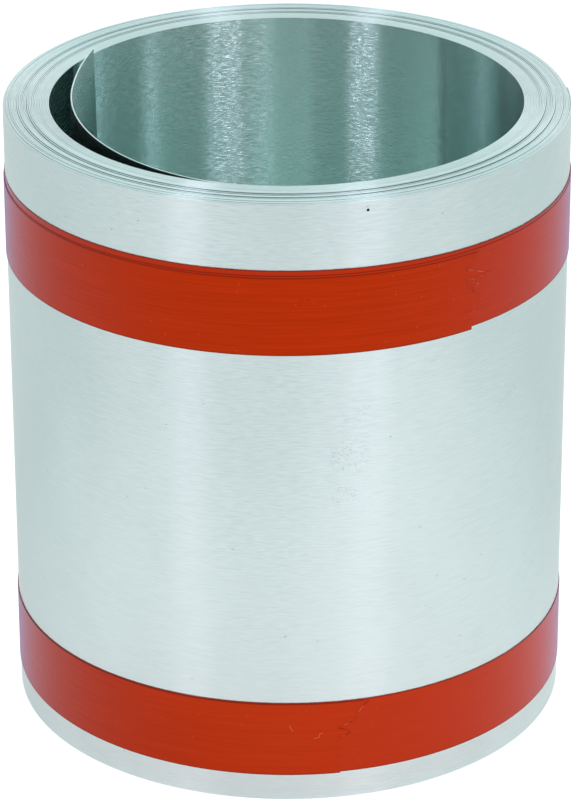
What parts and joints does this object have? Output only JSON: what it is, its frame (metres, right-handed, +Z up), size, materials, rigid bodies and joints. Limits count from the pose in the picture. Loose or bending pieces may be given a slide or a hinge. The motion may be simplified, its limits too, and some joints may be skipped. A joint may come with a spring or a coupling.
{
  "type": "roll of steel flashing",
  "caption": "Roll of bright galvanized steel flashing strip standing on its end, wound round an open bore with a sprung inner end, and held closed by bands of orange-red tape.",
  "frame": {"origin": "on the roll's axis, in the plane of the end that it stands on", "axes": "+Z up along the roll's axis; -Y is the front, which the picture was taken from, and +X is to the right of it"},
  "size_m": [0.1805, 0.1805, 0.2069],
  "materials": {
    "steel": "bright galvanized steel with a fine grain along the strip",
    "tape": "glossy orange-red plastic film with fine lines along it"
  },
  "bodies": {
    "root": {"steel_coil": "steel", "upper_tape": "tape", "lower_tape": "tape"}
  },
  "joints": []
}
